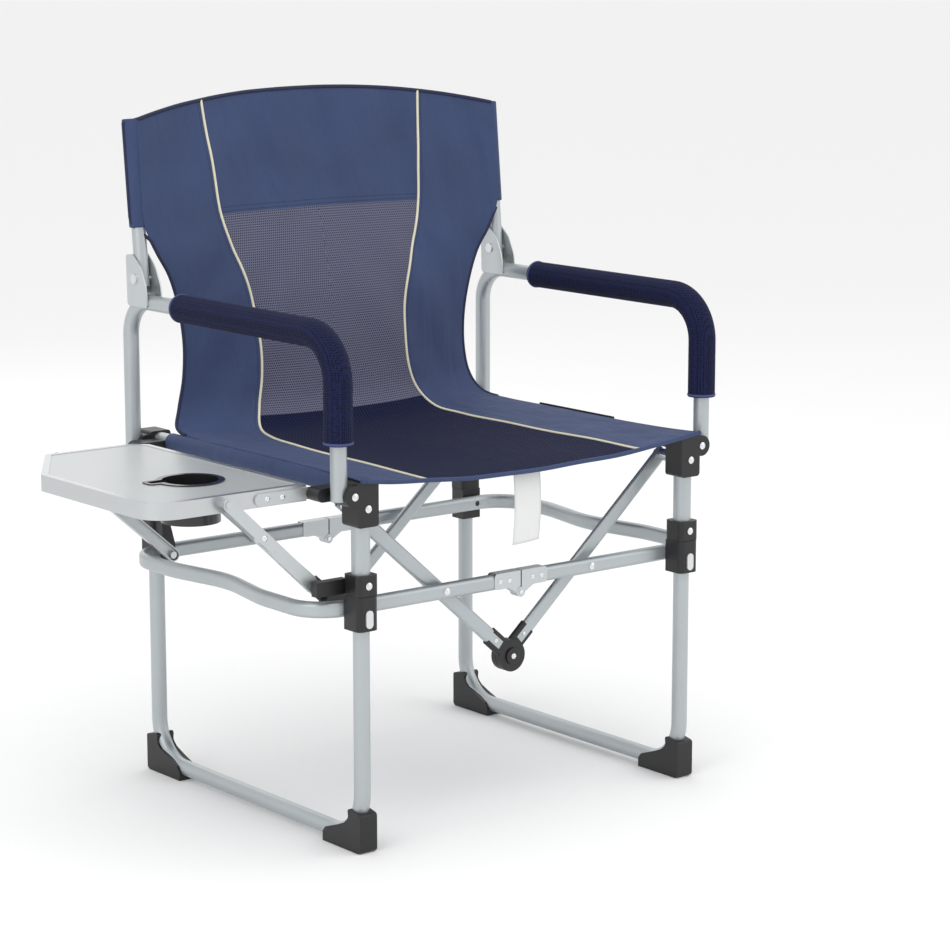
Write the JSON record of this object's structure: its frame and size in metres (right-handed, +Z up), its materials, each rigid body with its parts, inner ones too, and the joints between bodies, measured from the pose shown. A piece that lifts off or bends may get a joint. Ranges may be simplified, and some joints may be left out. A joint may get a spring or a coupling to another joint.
{
  "type": "folding director chair",
  "caption": "Folding director chair: bent-tube side frames, scissor cross frame, cloth sling seat and back, padded arms and a folding side table with a cup holder.",
  "frame": {"origin": "on the floor, under the middle of the four legs", "axes": "+Z up, the front faces -Y, +X to the sitter's left; the side table is on -X"},
  "size_m": [0.911, 0.529, 0.955],
  "materials": {
    "frame_paint": "satin silver-grey paint",
    "black_plastic": "moulded, fine texture",
    "rivet_steel": "bright zinc",
    "bracket_steel": "zinc-plated sheet",
    "cap_silver": "satin silver",
    "foam_grip": "navy knitted mesh over foam",
    "rim_aluminium": "brushed extrusion",
    "board_silver": "silver-grey laminate on fibreboard",
    "cup_plastic": "moulded black",
    "sling_fabric": "navy woven polyester",
    "label_white": "white satin tape",
    "webbing_black": "woven webbing"
  },
  "bodies": {
    "frame_right": {"leg_tube_right": "frame_paint", "shoe_front_right": "black_plastic", "shoe_rear_right": "black_plastic", "top_bracket_front_right": "black_plastic", "top_bracket_rear_right": "black_plastic", "leg_sleeves_right": "frame_paint", "leg_collars_right": "black_plastic", "seat_rail_right": "frame_paint", "arm_tube_right": "frame_paint", "arm_grip_right": "foam_grip", "back_hinge_right": "bracket_steel", "frame_pins_right": "rivet_steel", "table_knuckles": "black_plastic", "sling_seat": "sling_fabric", "sling_back_lower": "sling_fabric", "care_label": "label_white"},
    "clamps_right": {"clamp_front_right": "black_plastic", "clamp_rear_right": "black_plastic", "clamp_caps_right": "cap_silver"},
    "cross_right": {"cross_frame_right": "frame_paint", "middle_leaves_right": "bracket_steel", "cross_rivets_right": "rivet_steel"},
    "cross_left": {"cross_frame_left": "frame_paint", "middle_leaves_left": "bracket_steel", "middle_pins": "rivet_steel", "cross_rivets_left": "rivet_steel"},
    "clamps_left": {"clamp_front_left": "black_plastic", "clamp_rear_left": "black_plastic", "clamp_caps_left": "cap_silver"},
    "frame_left": {"leg_tube_left": "frame_paint", "shoe_front_left": "black_plastic", "shoe_rear_left": "black_plastic", "top_bracket_front_left": "black_plastic", "top_bracket_rear_left": "black_plastic", "leg_sleeves_left": "frame_paint", "leg_collars_left": "black_plastic", "seat_rail_left": "frame_paint", "arm_tube_left": "frame_paint", "arm_grip_left": "foam_grip", "back_hinge_left": "bracket_steel", "frame_pins_left": "rivet_steel", "carry_handle": "webbing_black"},
    "braces_right": {"brace_front_right": "frame_paint", "brace_rear_right": "frame_paint", "bottom_hinge_right": "black_plastic"},
    "braces_left": {"brace_front_left": "frame_paint", "brace_rear_left": "frame_paint", "bottom_hinge_left": "black_plastic"},
    "post_right": {"back_post_right": "frame_paint", "sling_back_upper": "sling_fabric"},
    "post_left": {"back_post_left": "frame_paint"},
    "table": {"table_rim": "rim_aluminium", "table_board": "board_silver", "cup_holder": "cup_plastic", "table_straps": "bracket_steel"},
    "link_front": {"strut_link_front": "bracket_steel"},
    "channel_front": {"strut_channel_front": "bracket_steel"},
    "link_rear": {"strut_link_rear": "bracket_steel"},
    "channel_rear": {"strut_channel_rear": "bracket_steel"}
  },
  "joints": [
    {"name": "clamp_slide_right", "type": "slide", "parent": "frame_right", "child": "clamps_right", "axis": [0, 0, -1], "range_m": [0, 0.216]},
    {"name": "cross_fold", "type": "hinge", "parent": "clamps_right", "child": "cross_right", "pos_m": [-0.28, 0, 0.324], "axis": [0, -1, 0], "range_deg": [0, 80], "deforming": ["sling_seat", "sling_back_lower", "sling_back_upper", "care_label"]},
    {"name": "middle_fold", "type": "hinge", "parent": "cross_right", "child": "cross_left", "pos_m": [0, 0, 0.306], "axis": [0, -1, 0], "range_deg": [-160.5, 0.5]},
    {"name": "clamp_turn_left", "type": "hinge", "parent": "cross_left", "child": "clamps_left", "pos_m": [0.28, 0, 0.324], "axis": [0, -1, 0], "range_deg": [-0.5, 80.5]},
    {"name": "clamp_slide_left", "type": "slide", "parent": "clamps_left", "child": "frame_left", "axis": [0, 0, 1], "range_m": [-0.0005, 0.216]},
    {"name": "brace_fold_right", "type": "hinge", "parent": "frame_right", "child": "braces_right", "pos_m": [-0.28, 0, 0.46], "axis": [0, -1, 0], "range_deg": [-38.85, 0.5]},
    {"name": "brace_fold_left", "type": "hinge", "parent": "frame_left", "child": "braces_left", "pos_m": [0.28, 0, 0.46], "axis": [0, -1, 0], "range_deg": [-0.5, 38.85]},
    {"name": "back_fold_right", "type": "hinge", "parent": "frame_right", "child": "post_right", "pos_m": [-0.314, 0.213, 0.715], "axis": [1, 0, 0], "range_deg": [0, 91]},
    {"name": "back_fold_left", "type": "hinge", "parent": "frame_left", "child": "post_left", "pos_m": [0.314, 0.213, 0.715], "axis": [1, 0, 0], "range_deg": [-0.5, 91.5]},
    {"name": "table_fold", "type": "hinge", "parent": "frame_right", "child": "table", "pos_m": [-0.326, 0, 0.478], "axis": [0, -1, 0], "range_deg": [0, 63]},
    {"name": "link_fold_front", "type": "hinge", "parent": "table", "child": "link_front", "pos_m": [-0.461, 0, 0.48], "axis": [0, -1, 0], "range_deg": [-0.5, 87.97]},
    {"name": "channel_fold_front", "type": "hinge", "parent": "frame_right", "child": "channel_front", "pos_m": [-0.329, 0, 0.356], "axis": [0, -1, 0], "range_deg": [-0.5, 2.35]},
    {"name": "link_fold_rear", "type": "hinge", "parent": "table", "child": "link_rear", "pos_m": [-0.461, 0, 0.48], "axis": [0, -1, 0], "range_deg": [-0.5, 45.83]},
    {"name": "channel_fold_rear", "type": "hinge", "parent": "frame_right", "child": "channel_rear", "pos_m": [-0.2805, 0, 0.322], "axis": [0, -1, 0], "range_deg": [-19.61, 0.5]}
  ],
  "couplings": [
    {"joint": "clamp_slide_right", "follows": "cross_fold", "m_per_rad": 0.15434},
    {"joint": "middle_fold", "follows": "cross_fold", "ratio": -2},
    {"joint": "clamp_turn_left", "follows": "cross_fold", "ratio": 1},
    {"joint": "clamp_slide_left", "follows": "cross_fold", "m_per_rad": 0.15434},
    {"joint": "brace_fold_right", "follows": "cross_fold", "ratio": -0.47934},
    {"joint": "brace_fold_left", "follows": "cross_fold", "ratio": 0.47934},
    {"joint": "back_fold_left", "follows": "back_fold_right", "ratio": 1},
    {"joint": "link_fold_front", "follows": "table_fold", "ratio": 1.3883},
    {"joint": "channel_fold_front", "follows": "table_fold", "ratio": 0.02937},
    {"joint": "link_fold_rear", "follows": "table_fold", "ratio": 0.71956},
    {"joint": "channel_fold_rear", "follows": "table_fold", "ratio": -0.30339}
  ]
}
